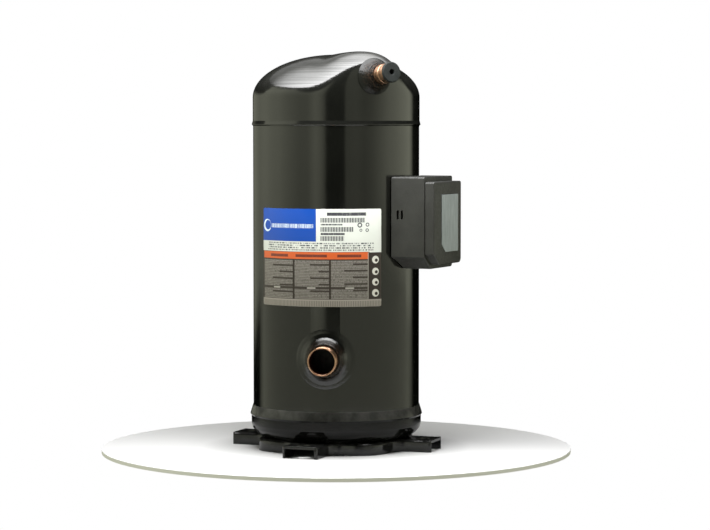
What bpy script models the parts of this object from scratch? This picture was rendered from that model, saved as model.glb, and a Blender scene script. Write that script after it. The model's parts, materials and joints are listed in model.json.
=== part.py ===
"""Hermetic scroll compressor, built as separate named pieces.

The origin is on the shell's axis, in the flat underside of the base plate, and +Z runs up the shell.
Sizes are in millimetres here and heights are above a reference level, FOOT above which the feet's rims
stand; `lift` takes both to metres in the frame of the part. Azimuths are in degrees from +X, towards +Y.
"""

import math

import bmesh
import bpy
from mathutils import Vector
from mathutils.bvhtree import BVHTree

MM = 0.001
DATUM = 11.5            # height of the base plate's underside
FOOT = -1.5             # height of the rims that the plate stands on
GAP = 0.3               # clearance between pieces that touch
CLEAR = 5.0             # how far a cutter reaches past the surface that it opens

# Shell
SHELL_R = 116.5
SHELL_WALL = 4.0
SHELL_BOTTOM = 38.0
SHELL_TOP = 449.7
SHELL_SIDES = 48
INNER_SIDES = 30        # for turned pieces inside the shell
CAP_R = 117.0
CAP_WALL = 4.5
CAP_SHOULDER = 490.0    # height where the dome leaves the cylinder
CAP_RISE = 60.0
HUMP_AZ = -90.0         # the raised shoulder faces -Y and carries the discharge fitting
HUMP_SIGMA = 16.0
HUMP_SQUARENESS = 5.0
HUMP_LIFT = 3.6
BEAD_Z = 453.0

# Base plate
PLATE_STEEL = 4.0
PLATE_TOP = DATUM + PLATE_STEEL
EAR_REACH = 148.0
EAR_HALF = 25.5
EAR_TIP_R = 4.0
EAR_ROOT = 114.0        # where an ear's straight flank ends
ROOT_R = 20.0
MOUNT_HALF = 95.0       # mounting holes on a 190 mm square
MOUNT_HOLE_R = 9.5

# Connections
SUCTION_AZ = -122.5
SUCTION_Z = 132.0
SUCTION_OR = 19.65
SUCTION_IR = 17.5
SUCTION_END = 153.0
DISCHARGE_FROM = (-8.2, -1.7, 504.9)     # where the stub's axis starts, under the dome
DISCHARGE_AZ = -84.0
DISCHARGE_TILT = 6.5    # degrees that the stub's axis rises
DISCHARGE_OR = 13.3
DISCHARGE_IR = 11.15
DISCHARGE_END = 155.2   # distances along the axis
PLUG_FACE = 160.0

# Terminal box
BOX_AZ = -48.9
BOX_HALF = 52.5
BOX_LOW = 254.0
BOX_HIGH = 381.0
BOX_FRONT = 154.5
COVER_HALF = 51.0
COVER_LOW = 260.0
COVER_HIGH = 374.0
COVER_FRONT = 168.5
HEADER_Z = 317.0

# Nameplate
LABEL_AZ = (-173.9, -83.4)
LABEL_Z = (204.0, 337.5)

# Compression set
INVOLUTE_A = 3.5        # radius of the involute's base circle
WRAP = 5.0              # wall thickness of a wrap
FLANK = 0.35            # clearance between the flanks
ORBIT = math.pi * INVOLUTE_A - WRAP - FLANK
WRAP_START = 2.7        # involute angles of a wrap's two ends, in radians
WRAP_END = 20.4
THRUST_Z = 384.0        # the land that the orbiting scroll slides on
FLOOR_T = 10.0          # thickness of the orbiting scroll's floor
ORBITER_FLOOR = THRUST_Z + GAP + FLOOR_T
FIXED_UNDER = 428.3
FIXED_TOP = 446.0
BOLT_R = 103.0          # radius of the circle of guide bolts
OLDHAM_KEY = 75.0

# Motor and shaft
STATOR = (155.0, 280.0)
STATOR_BORE = 62.0
SLOTS = 24
SHAFT_R = 19.0
JOURNAL_R = 21.0
PIN_R = 13.7
FOOT_R = 12.7

PAINT = ("black_paint", (0.012, 0.012, 0.012), 0.16, 0.0)
PLATE_PAINT = ("black_plate_paint", (0.016, 0.017, 0.018), 0.3, 0.0)
COPPER = ("copper", (0.62, 0.26, 0.16), 0.32, 1.0)
RUBBER = ("plug_rubber", (0.035, 0.038, 0.036), 0.7, 0.0)
PLASTIC = ("box_plastic", (0.035, 0.035, 0.034), 0.5, 0.0)
BADGE = ("badge_foil", (0.34, 0.37, 0.41), 0.4, 0.3)
FOIL = ("label_foil", (0.82, 0.83, 0.80), 0.35, 0.0)
CAST = ("cast_iron", (0.23, 0.23, 0.235), 0.55, 0.8)
STEEL = ("machined_steel", (0.55, 0.55, 0.56), 0.3, 1.0)
LAMINATION = ("lamination_steel", (0.30, 0.31, 0.33), 0.45, 0.9)
WINDING = ("enamelled_wire", (0.42, 0.13, 0.05), 0.35, 0.2)
ALUMINIUM = ("cast_aluminium", (0.66, 0.67, 0.68), 0.4, 1.0)
BRONZE = ("bearing_bronze", (0.48, 0.33, 0.16), 0.4, 1.0)
BRASS = ("brass", (0.70, 0.52, 0.24), 0.3, 1.0)
HEADER = ("terminal_steel", (0.45, 0.45, 0.44), 0.35, 0.9)
FIBRE = ("fibre_gasket", (0.16, 0.13, 0.10), 0.85, 0.0)
PHENOLIC = ("phenolic_block", (0.11, 0.05, 0.03), 0.45, 0.0)


def lift(point):
    """A point in millimetres, as metres in the part's frame."""
    return Vector((point[0] * MM, point[1] * MM, (point[2] - DATUM) * MM))


def clear_scene():
    for old in list(bpy.data.objects):
        bpy.data.objects.remove(old, do_unlink=True)


def material(spec):
    name, colour, roughness, metallic = spec
    found = bpy.data.materials.get(name)
    if found:
        return found
    made = bpy.data.materials.new(name)
    made.use_nodes = True
    shader = made.node_tree.nodes["Principled BSDF"]
    shader.inputs["Base Color"].default_value = (*colour, 1.0)
    shader.inputs["Roughness"].default_value = roughness
    shader.inputs["Metallic"].default_value = metallic
    return made


def keep(name, bm, spec, smooth=35.0):
    """Turns a bmesh of metres into a named, shaded object."""
    bmesh.ops.recalc_face_normals(bm, faces=bm.faces)
    mesh = bpy.data.meshes.new(name)
    bm.to_mesh(mesh)
    bm.free()
    mesh.shade_smooth()
    mesh.set_sharp_from_angle(angle=math.radians(smooth))
    mesh.materials.append(material(spec))
    thing = bpy.data.objects.new(name, mesh)
    bpy.context.collection.objects.link(thing)
    return thing


def upright(centre=(0.0, 0.0)):
    """Local millimetres to the part's frame: x and y from a centre, z as a height."""
    return lambda x, y, z: lift((x + centre[0], y + centre[1], z))


def aimed(start, azimuth, tilt):
    """Local millimetres on a line that rises by `tilt`: x sideways (towards +azimuth), y up, z along it."""
    turn = math.radians(azimuth)
    rise = math.radians(tilt)
    out = Vector((math.cos(rise) * math.cos(turn), math.cos(rise) * math.sin(turn), math.sin(rise)))
    side = Vector((-math.sin(turn), math.cos(turn), 0.0))
    up = out.cross(side)
    return lambda x, y, z: lift(Vector(start) + side * x + up * y + out * z)


def radial(azimuth, height):
    """Local millimetres on a level line from the shell's axis: x sideways, y up, z out."""
    return aimed((0.0, 0.0, height), azimuth, 0.0)


def shell_by_rings(rings, place, closed=True):
    """A bmesh skinned over rings of points. A ring of one point is a pole. `closed` joins last to first."""
    bm = bmesh.new()
    made = [[bm.verts.new(place(*p)) for p in ring] for ring in rings]
    pairs = list(zip(made, made[1:]))
    if closed:
        pairs.append((made[-1], made[0]))
    for low, high in pairs:
        if len(low) == 1 and len(high) == 1:
            continue
        count = max(len(low), len(high))
        for i in range(count):
            j = (i + 1) % count
            corners = [low[i % len(low)], low[j % len(low)], high[j % len(high)], high[i % len(high)]]
            unique = list(dict.fromkeys(corners))
            bm.faces.new(unique)
    return bm


def ring(radius, z, sides):
    if radius == 0.0:
        return [(0.0, 0.0, z)]
    angles = [2 * math.pi * i / sides for i in range(sides)]
    return [(radius * math.cos(a), radius * math.sin(a), z) for a in angles]


def turned(name, profile, spec, place=None, sides=SHELL_SIDES, smooth=35.0):
    """A closed profile of (radius, height) turned about its axis."""
    rings = [ring(r, z, sides) for r, z in profile]
    return keep(name, shell_by_rings(rings, place or upright()), spec, smooth)


def slab(name, loops, low, high, spec, place=None, smooth=35.0):
    """Plane loops of (x, y), the first one outside and the others holes, extruded from low to high."""
    place = place or upright()
    bm = bmesh.new()
    edges = []
    for loop in loops:
        corners = [bm.verts.new((x, y, low)) for x, y in loop]
        edges += [bm.edges.new((a, b)) for a, b in zip(corners, corners[1:] + corners[:1])]
    bmesh.ops.triangle_fill(bm, use_beauty=True, edges=edges)
    top = bmesh.ops.extrude_face_region(bm, geom=bm.faces[:])
    for part in top["geom"]:
        if isinstance(part, bmesh.types.BMVert):
            part.co.z = high
    for vert in bm.verts:
        vert.co = place(*vert.co)
    return keep(name, bm, spec, smooth)


def circle(radius, sides, centre=(0.0, 0.0)):
    return [(centre[0] + x, centre[1] + y) for x, y, _ in ring(radius, 0.0, sides)]


def rectangle(x0, y0, x1, y1):
    return [(x0, y0), (x1, y0), (x1, y1), (x0, y1)]


def arc_points(centre, radius, start, end, count):
    """Points on an arc, both ends included, with angles in degrees."""
    steps = [math.radians(start + (end - start) * i / (count - 1)) for i in range(count)]
    return [(centre[0] + radius * math.cos(a), centre[1] + radius * math.sin(a)) for a in steps]


def sector(inner, outer, start, end, count):
    """A piece of a flat ring between two azimuths."""
    return arc_points((0, 0), outer, start, end, count) + arc_points((0, 0), inner, end, start, count)


def boolean(target, tool, operation):
    change = target.modifiers.new(operation.lower(), "BOOLEAN")
    change.operation = operation
    change.solver = "EXACT"
    change.object = tool
    tool.hide_render = True
    tool.display_type = "WIRE"


def cut(target, *tools):
    for tool in tools:
        boolean(target, tool, "DIFFERENCE")


def join(target, *tools):
    for tool in tools:
        boolean(target, tool, "UNION")


def cylinder_tool(name, radius, low, high, place=None, sides=24):
    profile = [(0.0, low), (radius, low), (radius, high), (0.0, high)]
    return turned(name, profile, STEEL, place, sides)


# ---------------------------------------------------------------- shell

def hump(azimuth):
    """How much of the raised shoulder there is at an azimuth, 0 to 1."""
    away = (azimuth - HUMP_AZ + 180.0) % 360.0 - 180.0
    return math.exp(-away * away / (2 * HUMP_SIGMA * HUMP_SIGMA))


def dome_point(radius, rise, azimuth, turn):
    """Radius and height on the dome: `turn` is 0 at the cylinder's top and 90 degrees at the pole."""
    weight = hump(azimuth)
    power = 2.0 / (2.0 + HUMP_SQUARENESS * weight)
    across = max(math.cos(math.radians(turn)), 0.0) ** power
    up = math.sin(math.radians(turn)) ** power
    spread = (across / 0.85) ** 2
    swell = HUMP_LIFT * weight * spread * math.exp(1.0 - spread)
    return radius * across, CAP_SHOULDER + rise * up + swell


def dome_ring(radius, rise, turn):
    points = []
    for i in range(SHELL_SIDES):
        azimuth = 360.0 * i / SHELL_SIDES
        r, z = dome_point(radius, rise, azimuth, turn)
        angle = math.radians(azimuth)
        points.append((r * math.cos(angle), r * math.sin(angle), z))
    return points


def make_cap():
    inner_r = CAP_R - CAP_WALL
    outer_turns = (0, 11, 22, 34, 46, 58, 70, 81)
    inner_turns = (66, 44, 22, 0)
    rim = [(inner_r, 453.3), (116.7, 453.3), (116.7, 450.2), (117.7, 450.2), (118.3, 451.2),
           (118.3, BEAD_Z - 0.5), (CAP_R, BEAD_Z + 4.5)]
    rings = [ring(r, z, SHELL_SIDES) for r, z in rim]
    rings += [dome_ring(CAP_R, CAP_RISE, turn) for turn in outer_turns]
    rings.append([(0.0, 0.0, CAP_SHOULDER + CAP_RISE)])
    rings.append([(0.0, 0.0, CAP_SHOULDER + CAP_RISE - CAP_WALL)])
    rings += [dome_ring(inner_r, CAP_RISE - CAP_WALL, turn) for turn in inner_turns]
    cap = keep("top_cap", shell_by_rings(rings, upright()), PAINT, 40.0)
    wall = surface_of(cap)
    place = aimed(DISCHARGE_FROM, DISCHARGE_AZ, DISCHARGE_TILT)
    cut(cap, cylinder_tool("guide_discharge_hole", DISCHARGE_OR + GAP, 95, 130, place))
    return wall


def surface_of(thing):
    bm = bmesh.new()
    bm.from_mesh(thing.data)
    tree = BVHTree.FromBMesh(bm)
    bm.free()
    return tree


def make_shell():
    inner = SHELL_R - SHELL_WALL
    profile = [(inner, SHELL_BOTTOM), (SHELL_R, SHELL_BOTTOM), (SHELL_R, SHELL_TOP), (inner, SHELL_TOP)]
    shell = turned("shell_tube", profile, PAINT)
    wall = surface_of(shell)
    suction = radial(SUCTION_AZ, SUCTION_Z)
    header = radial(BOX_AZ, HEADER_Z)
    cut(shell,
        cylinder_tool("guide_suction_hole", SUCTION_OR + GAP + 0.05, 100, 130, suction),
        cylinder_tool("guide_header_hole", 22.4, 100, 130, header))
    return wall


def make_lower_cover():
    seat = PLATE_TOP + GAP
    inner = SHELL_R + GAP
    profile = [(0, seat), (101, seat), (107, 17.4), (113.2, 22), (117.6, 27), (119.2, 32), (119.4, 45),
               (121, 46.8), (117.2, 59.4), (inner, 59.4), (inner, 37), (113.5, 28.5), (100, 20), (0, 20)]
    turned("lower_cover", profile, PAINT)


def on_ear(along, across):
    """A point on the ear at +45 degrees, measured along it and across it towards +X."""
    diagonal = math.sqrt(0.5)
    return (diagonal * (along + across), diagonal * (along - across))


def plate_side(inset, tip):
    """One side of the base plate's outline, facing +X and moved inwards. `tip` ends the ear at +45 degrees.

    The root of the ear swings round to 45 degrees from the side, where a parabola takes over."""
    fillet = arc_points(on_ear(EAR_ROOT, EAR_HALF + ROOT_R), ROOT_R + inset, 225, 135, 6)
    start_x, start_y = fillet[0]
    bow = [(start_x + start_y * (1 - t * t) / 2, start_y * t) for t in (0.25, 0.5, 0.75)]
    upper = bow + fillet + tip
    middle = (start_x + start_y / 2, 0.0)
    return [(x, -y) for x, y in upper[::-1]] + [middle] + upper


def around_plate(side):
    """Four copies of one side's points, a quarter turn apart."""
    outline = []
    for c, s in ((1, 0), (0, 1), (-1, 0), (0, -1)):
        outline += [(x * c - y * s, x * s + y * c) for x, y in side]
    return outline


def make_base_plate():
    holes = [circle(MOUNT_HOLE_R, 20, (sx * MOUNT_HALF, sy * MOUNT_HALF))
             for sx, sy in ((1, 1), (-1, 1), (-1, -1), (1, -1))]
    tip = arc_points(on_ear(EAR_REACH - EAR_TIP_R, EAR_HALF - EAR_TIP_R), EAR_TIP_R, -45, 45, 4)
    outline = around_plate(plate_side(0.0, tip))
    plate = slab("base_plate", [outline] + holes, FOOT, PLATE_TOP, PLATE_PAINT)
    past_tip = on_ear(EAR_REACH + CLEAR, EAR_HALF - PLATE_STEEL)
    hollow = around_plate(plate_side(PLATE_STEEL, [past_tip]))
    cut(plate, slab("guide_plate_hollow", [hollow], FOOT - CLEAR, DATUM, PLATE_PAINT))


# ---------------------------------------------------------------- connections

def seated_collar(name, wall, place, steps, spec, sides=24):
    """A collar whose foot follows the wall.

    Each step is (radius, height above the wall, how far it follows the wall, 0 to 1)."""
    outward = (place(0, 0, 1) - place(0, 0, 0)).normalized()

    def wall_at(x, y):
        hit = wall.ray_cast(place(x, y, 250), -outward)
        return 250 - hit[3] / MM

    middle = wall_at(0, 0)
    rings = []
    for radius, above, follow in steps:
        points = []
        for x, y, _ in ring(radius, 0.0, sides):
            points.append((x, y, middle + above + follow * (wall_at(x, y) - middle)))
        rings.append(points)
    return keep(name, shell_by_rings(rings, place), spec)


def make_suction(wall):
    bore = SUCTION_OR + GAP + 0.05
    place = radial(SUCTION_AZ, SUCTION_Z)
    steps = [(bore, 0.4, 1), (29, 0.5, 1), (40, 0.5, 1), (41, 1.2, 1), (36, 2.1, 0.95), (30, 3.9, 0.8),
             (26.6, 6.2, 0.5), (24.8, 9.5, 0.2), (24.0, 13.0, 0), (23.6, 16.6, 0), (22.4, 18.0, 0),
             (bore, 18.0, 0)]
    seated_collar("suction_fitting", wall, place, steps, PAINT)
    profile = [(SUCTION_IR, 109), (SUCTION_OR, 109), (SUCTION_OR, SUCTION_END - 1),
               (SUCTION_OR - 0.6, SUCTION_END), (SUCTION_IR, SUCTION_END)]
    turned("suction_stub", profile, COPPER, place, 24)
    baffle = sector(103.4, 105.4, SUCTION_AZ - 15, SUCTION_AZ + 15, 8)
    slab("suction_baffle", [baffle], 112, 151, STEEL)


def make_discharge(wall):
    place = aimed(DISCHARGE_FROM, DISCHARGE_AZ, DISCHARGE_TILT)
    bore = DISCHARGE_OR + GAP
    steps = [(bore, 0.6, 1), (17, 0.6, 1), (20, 0.75, 1), (22.5, 0.9, 1), (24.5, 1.0, 1), (25.2, 2.0, 1),
             (23.0, 3.6, 0.7), (20.4, 5.6, 0.3), (18.8, 8.2, 0), (18.4, 11.0, 0), (17.4, 11.9, 0),
             (15.4, 12.4, 0), (14.9, 17.0, 0), (bore, 17.0, 0)]
    seated_collar("discharge_fitting", wall, place, steps, PAINT)
    tube = [(DISCHARGE_IR, 110), (DISCHARGE_OR, 110), (DISCHARGE_OR, DISCHARGE_END),
            (DISCHARGE_IR, DISCHARGE_END)]
    turned("discharge_stub", tube, COPPER, place, 24)
    shank = DISCHARGE_IR - GAP
    brim = DISCHARGE_END + GAP
    plug = [(0, 138), (shank, 138), (shank, brim), (14.1, brim), (14.1, PLUG_FACE - 1.2),
            (13.1, PLUG_FACE), (3.5, PLUG_FACE), (3.5, 149), (0, 149)]
    turned("discharge_plug", plug, RUBBER, place, 24)


# ---------------------------------------------------------------- terminal box

def box_outline(half, low, high, chamfer):
    """Outline of the box seen from outside, with its lower near corner cut off."""
    wide, tall = chamfer
    return [(-half + wide, low), (half - 4, low), (half, low + 4), (half, high), (-half, high),
            (-half, low + tall)]


def make_terminal_box():
    flat = radial(BOX_AZ, 0.0)
    base = slab("terminal_box_base", [box_outline(BOX_HALF, BOX_LOW, BOX_HIGH, (25, 17))],
                98, BOX_FRONT, PLASTIC, flat)
    room = slab("guide_box_room", [box_outline(49.5, 263, 371, (22, 12))], 98, 165, PLASTIC, flat)
    cut(room, cylinder_tool("guide_box_floor", SHELL_R + 5.5, 240, 400, None, 96))
    cut(base,
        room,
        cylinder_tool("guide_box_back", SHELL_R + 1.8, 240, 400, None, 96),
        cylinder_tool("guide_box_eye", 27.0, 95, 140, radial(BOX_AZ, HEADER_Z)))
    cover = slab("terminal_box_cover", [box_outline(COVER_HALF, COVER_LOW, COVER_HIGH, (23, 15))],
                 BOX_FRONT + GAP, COVER_FRONT, PLASTIC, flat)
    skirt = slab("guide_cover_skirt", [box_outline(49.1, 263.4, 370.6, (21.8, 11.8))],
                 146, BOX_FRONT + 2, PLASTIC, flat)
    inside = slab("guide_cover_inside", [box_outline(46.8, 265.8, 368.2, (20.8, 10.8))],
                  140, COVER_FRONT - 2.6, PLASTIC, flat)
    join(cover, skirt)
    cut(cover, inside)
    badge = [(-10, 277), (37, 277), (37, 356), (-24, 356), (-24, 288)]
    slab("terminal_box_badge", [badge], COVER_FRONT + GAP, COVER_FRONT + 0.9, BADGE, flat)
    gasket = [circle_on_shell(r, above) for r, above in ((26.5, 0.3), (36, 0.3), (36, 1.5), (26.5, 1.5))]
    keep("terminal_box_gasket", shell_by_rings(gasket, radial(BOX_AZ, HEADER_Z)), FIBRE)


def circle_on_shell(radius, above):
    """A ring of points that lies on the shell, `above` its surface, in the radial frame."""
    points = []
    for x, y, _ in ring(radius, 0.0, 24):
        points.append((x, y, math.sqrt((SHELL_R + above) ** 2 - x * x)))
    return points


def make_terminals():
    place = radial(BOX_AZ, HEADER_Z)
    pins = [(9.0 * math.cos(a), 9.0 * math.sin(a)) for a in (math.pi / 2, math.pi * 7 / 6, math.pi * 11 / 6)]
    slab("hermetic_terminal", [circle(22.0, 24)] + [circle(2.0, 12, p) for p in pins],
         112.0, 118.0, HEADER, place)
    for number, (x, y) in enumerate(pins, 1):
        slab(f"terminal_pin_{number}", [circle(1.6, 12, (x, y))], 103.0, 127.5, COPPER, place)
    slab("terminal_block", [rectangle(-17, -17, 17, 17)] + [circle(2.0, 12, p) for p in pins],
         121.0, 133.0, PHENOLIC, place)
    screw = [(0, 124.6), (2.1, 124.6), (2.1, 131.5), (5.0, 131.5), (5.0, 134.8), (0, 134.8)]
    turned("ground_screw", screw, BRASS, radial(BOX_AZ + 13.0, HEADER_Z - 32.0), 16)


def make_nameplate():
    arc = sector(SHELL_R + GAP, SHELL_R + 0.8, *LABEL_AZ, 14)
    slab("nameplate", [arc], *LABEL_Z, FOIL)


# ---------------------------------------------------------------- motor

def stator_outline():
    """The bore side of one lamination: teeth with slots between them."""
    points = []
    for i in range(SLOTS):
        middle = 360.0 / SLOTS * i
        half_slot = ((STATOR_BORE, -1.4), (66.0, -1.4), (68.0, -3.4), (88.0, -3.8))
        points += [polar(radius, middle + angle) for radius, angle in half_slot]
        points += [polar(radius, middle - angle) for radius, angle in half_slot[::-1]]
    return points


def polar(radius, azimuth):
    angle = math.radians(azimuth)
    return (radius * math.cos(angle), radius * math.sin(angle))


def make_motor():
    outer = []
    for quarter in range(4):
        outer += arc_points((0, 0), 112.1, 90 * quarter + 12, 90 * quarter + 78, 12)
    slab("stator_core", [outer, stator_outline()], *STATOR, LAMINATION)
    end = [(70, 0.4), (66.5, 8), (68.5, 20), (76, 27), (90, 27.5), (97, 22), (98, 10), (95, 0.4)]
    turned("upper_winding", [(r, STATOR[1] + z) for r, z in end], WINDING, None, INNER_SIDES, 60)
    turned("lower_winding", [(r, STATOR[0] - z) for r, z in end], WINDING, None, INNER_SIDES, 60)
    core = [(SHAFT_R + GAP, 153), (61.2, 153), (61.2, 282), (SHAFT_R + GAP, 282)]
    turned("rotor_core", core, LAMINATION, None, INNER_SIDES)
    for name, low, high in (("upper_end_ring", 282.3, 291), ("lower_end_ring", 144, 152.7)):
        turned(name, [(36, low), (60.5, low), (60.5, high), (36, high)], ALUMINIUM, None, INNER_SIDES)
    slab("upper_counterweight", [sector(36, 58, 100, 260, 15)], 291.3, 304, CAST)
    slab("lower_counterweight", [sector(36, 58, -70, 70, 13)], 131, 143.7, CAST)
    case = rectangle(76, -13, 90, 13)
    slab("overload_protector", [case], STATOR[1] + 28.2, STATOR[1] + 38, PHENOLIC)


# ---------------------------------------------------------------- shaft and bearings

def flatted(radius, flat, centre, sides=28):
    """A circle with a flat on its +X side, like a driving pin."""
    half = math.degrees(math.acos(flat / radius))
    return arc_points(centre, radius, half, 360 - half, sides)


def make_shaft():
    pin_at = (ORBIT, 0.0)
    profile = [(0, 64), (FOOT_R, 64), (FOOT_R, 104), (SHAFT_R, 106), (SHAFT_R, 306), (JOURNAL_R, 307),
               (JOURNAL_R, 352), (0, 352)]
    shaft = turned("crankshaft", profile, STEEL, None, 32)
    pin = slab("guide_pin", [flatted(PIN_R, 11.0, pin_at)], 345, 379, STEEL)
    join(shaft, pin)
    gallery = upright((ORBIT / 2, 0.0))
    cut(shaft,
        cylinder_tool("guide_oil_well", 6.3, 50, 150, None, 20),
        cylinder_tool("guide_oil_gallery", 3.0, 140, 390, gallery, 16))
    plug = [(0, 372), (2.7, 372), (2.7, 379.6), (0, 379.6)]
    turned("oil_gallery_plug", plug, BRASS, gallery, 16)
    bush = [circle(24.0, 32, pin_at), flatted(PIN_R + GAP, 11.0 + GAP, pin_at)]
    slab("drive_bush", bush, 354, 380.5, STEEL)
    sleeve = [(24.4, 357), (28.2, 357), (28.2, 382), (24.4, 382)]
    turned("drive_bearing", sleeve, BRONZE, upright(pin_at), 32)
    pickup = [(3.8, 27), (5.9, 27), (5.9, 74), (3.8, 74)]
    turned("oil_pickup", pickup, STEEL, None, 20)


def make_bearings():
    bush = [(JOURNAL_R + GAP, 320), (24.2, 320), (24.2, 350.5), (JOURNAL_R + GAP, 350.5)]
    turned("main_bearing_bush", bush, BRONZE, None, 32)
    bush = [(FOOT_R + GAP, 66), (15.7, 66), (15.7, 99), (FOOT_R + GAP, 99)]
    turned("lower_bearing_bush", bush, BRONZE, None, 24)
    washer = [(7.2, 61.4), (12.4, 61.4), (12.4, 63.6), (7.2, 63.6)]
    turned("thrust_washer", washer, BRONZE, None, 24)
    boss = [(7.0, 57), (25, 57), (25, 82), (33, 84), (33, 91), (25, 93), (25, 100), (16, 100), (16, 61),
            (7.0, 61)]
    bracket = turned("lower_bearing_bracket", boss, CAST, None, 24)
    for number, turn in enumerate((45, 135)):
        c = math.cos(math.radians(turn))
        s = math.sin(math.radians(turn))
        for side in (1, -1):
            corners = [(26, -11), (108, -15), (112, 0), (108, 15), (26, 11)]
            arm = [(side * (x * c - y * s), side * (x * s + y * c)) for x, y in corners]
            join(bracket, slab(f"guide_arm_{number}_{side + 1}", [arm], 85, 90, CAST))


def make_housing():
    profile = [(24.5, 318), (24.5, 351), (42.3, 353), (42.3, THRUST_Z), (62, THRUST_Z), (62, 373.8),
               (88.3, 373.8), (88.3, 380), (112.1, 380), (112.1, 361), (98, 361), (62, 344), (46, 341),
               (35, 318)]
    housing = turned("main_bearing_housing", profile, CAST, None, INNER_SIDES)
    for number, (x, y) in enumerate(bolt_places()):
        post = cylinder_tool(f"guide_post_{number}", 5.9, 365, 423.7, upright((x, y)), 12)
        join(housing, post)
    for number, (x, y) in enumerate(bolt_places()):
        cut(housing, cylinder_tool(f"guide_thread_{number}", 4.5, 404, 430, upright((x, y)), 12))
    for side in (1, -1):
        xs = sorted((side * 62.6, side * 87.6))
        slot = slab(f"guide_housing_key_{side + 1}", [rectangle(xs[0], -4.3, xs[1], 4.3)], 368.4, 376, CAST)
        cut(housing, slot)


def bolt_places():
    return [polar(BOLT_R, 45 + 90 * i) for i in range(4)]


def make_guide_bolts():
    for number, (x, y) in enumerate(bolt_places(), 1):
        profile = [(0, 405), (4.2, 405), (4.2, 436.0), (7.0, 436.0), (7.0, 441.5), (6.4, 442.2), (0, 442.2)]
        turned(f"guide_bolt_{number}", profile, STEEL, upright((x, y)), 12)


# ---------------------------------------------------------------- compression set

def wrap_outline(turn, centre):
    """Both flanks of one involute wrap, turned about its centre, with steps of even chord error."""
    steps = 70
    first = WRAP_START ** 1.5
    last = WRAP_END ** 1.5
    half = WRAP / (2 * INVOLUTE_A)
    base = math.radians(turn)
    flanks = ([], [])
    for side, shift in enumerate((half, -half)):
        for i in range(steps + 1):
            angle = (first + (last - first) * i / steps) ** (2 / 3)
            unrolled = angle + shift
            x = INVOLUTE_A * (math.cos(angle) + unrolled * math.sin(angle))
            y = INVOLUTE_A * (math.sin(angle) - unrolled * math.cos(angle))
            flanks[side].append((centre[0] + x * math.cos(base) - y * math.sin(base),
                                 centre[1] + x * math.sin(base) + y * math.cos(base)))
    return flanks[0] + flanks[1][::-1]


def make_orbiting_scroll():
    centre = (ORBIT, 0.0)
    under = THRUST_Z + GAP
    profile = [(0, ORBITER_FLOOR), (0, under), (28.5, under), (28.5, 356), (35.9, 356), (35.9, under),
               (90, under), (90, ORBITER_FLOOR)]
    scroll = turned("orbiting_scroll", profile, CAST, upright(centre), INNER_SIDES)
    wrap = slab("guide_orbiting_wrap", [wrap_outline(180, centre)],
                ORBITER_FLOOR - 3, FIXED_UNDER - GAP, CAST)
    join(scroll, wrap)
    for side in (1, -1):
        ys = sorted((side * 62.8, side * 87.2))
        box = rectangle(centre[0] - 4.3, ys[0], centre[0] + 4.3, ys[1])
        cut(scroll, slab(f"guide_scroll_key_{side + 1}", [box], under - 5, under + 5, CAST))


def make_oldham_ring():
    centre = (ORBIT, 0.0)
    profile = [(68, 374.2), (82, 374.2), (82, 380.5), (68, 380.5)]
    oldham = turned("oldham_ring", profile, ALUMINIUM, upright(centre), INNER_SIDES)
    for side in (1, -1):
        x = centre[0] + side * OLDHAM_KEY
        low = slab(f"guide_low_key_{side + 1}", [rectangle(x - 6, -4, x + 6, 4)], 369, 377, ALUMINIUM)
        y = side * OLDHAM_KEY
        box = rectangle(centre[0] - 4, y - 6, centre[0] + 4, y + 6)
        high = slab(f"guide_high_key_{side + 1}", [box], 377, 388.4, ALUMINIUM)
        join(oldham, low, high)


def make_fixed_scroll():
    tip = ORBITER_FLOOR + GAP
    recess = 440.0
    profile = [(6.5, FIXED_UNDER), (6.5, FIXED_TOP), (33, FIXED_TOP), (33, recess), (60, recess),
               (60, FIXED_TOP), (91, FIXED_TOP), (91, 435), (109.5, 435), (109.5, 424), (91, 424),
               (91, tip), (82, tip), (82, FIXED_UNDER)]
    scroll = turned("fixed_scroll", profile, CAST, None, INNER_SIDES)
    wrap = slab("guide_fixed_wrap", [wrap_outline(0, (0.0, 0.0))], tip, FIXED_UNDER + 3, CAST)
    join(scroll, wrap)
    inlet = slab("guide_inlet", [rectangle(70, -16, 100, 16)], 399, 420, CAST)
    cut(scroll, inlet)
    for number, (x, y) in enumerate(bolt_places()):
        cut(scroll, cylinder_tool(f"guide_flange_{number}", 4.7, 415, 440, upright((x, y)), 12))


def make_discharge_side():
    seal = [(33.6, 440.4), (59.4, 440.4), (59.4, 445.5), (54, 447), (54, 451.2), (48, 451.2), (46, 447.5),
            (38, 447.5), (33.6, 445.5)]
    turned("floating_seal", seal, STEEL, None, INNER_SIDES)
    plate = [(116.4, 450.0), (99, 450.0), (90, 453.4), (28, 453.4), (11, 455.4), (11, 463), (24.5, 463),
             (28, 459), (89, 457.4), (99.4, 453.0), (116.4, 453.0)]
    muffler = turned("muffler_plate", plate, STEEL, None, INNER_SIDES)
    spot = upright(polar(75, 200))
    cut(muffler, cylinder_tool("guide_relief_hole", 7.3, 445, 465, spot, 16))
    relief = [(0, 448.5), (7.0, 448.5), (7.0, 458.4), (9.5, 458.4), (9.5, 463), (6.5, 464.5), (0, 464.5)]
    turned("relief_valve", relief, BRASS, spot, 16)
    turned("discharge_valve_disc", [(0, 463.3), (16, 463.3), (16, 464.8), (0, 464.8)], STEEL, None, 24)
    cage = [(24, 463.3), (24, 470.6), (6, 470.6), (6, 468.0), (18.6, 468.0), (18.6, 463.3)]
    retainer = turned("valve_retainer", cage, STEEL, None, 24)
    for turn in (30, 150, 270):
        corners = sector(15, 30, turn - 18, turn + 18, 4)
        cut(retainer, slab(f"guide_window_{turn}", [corners], 464.5, 467.2, STEEL))


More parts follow.
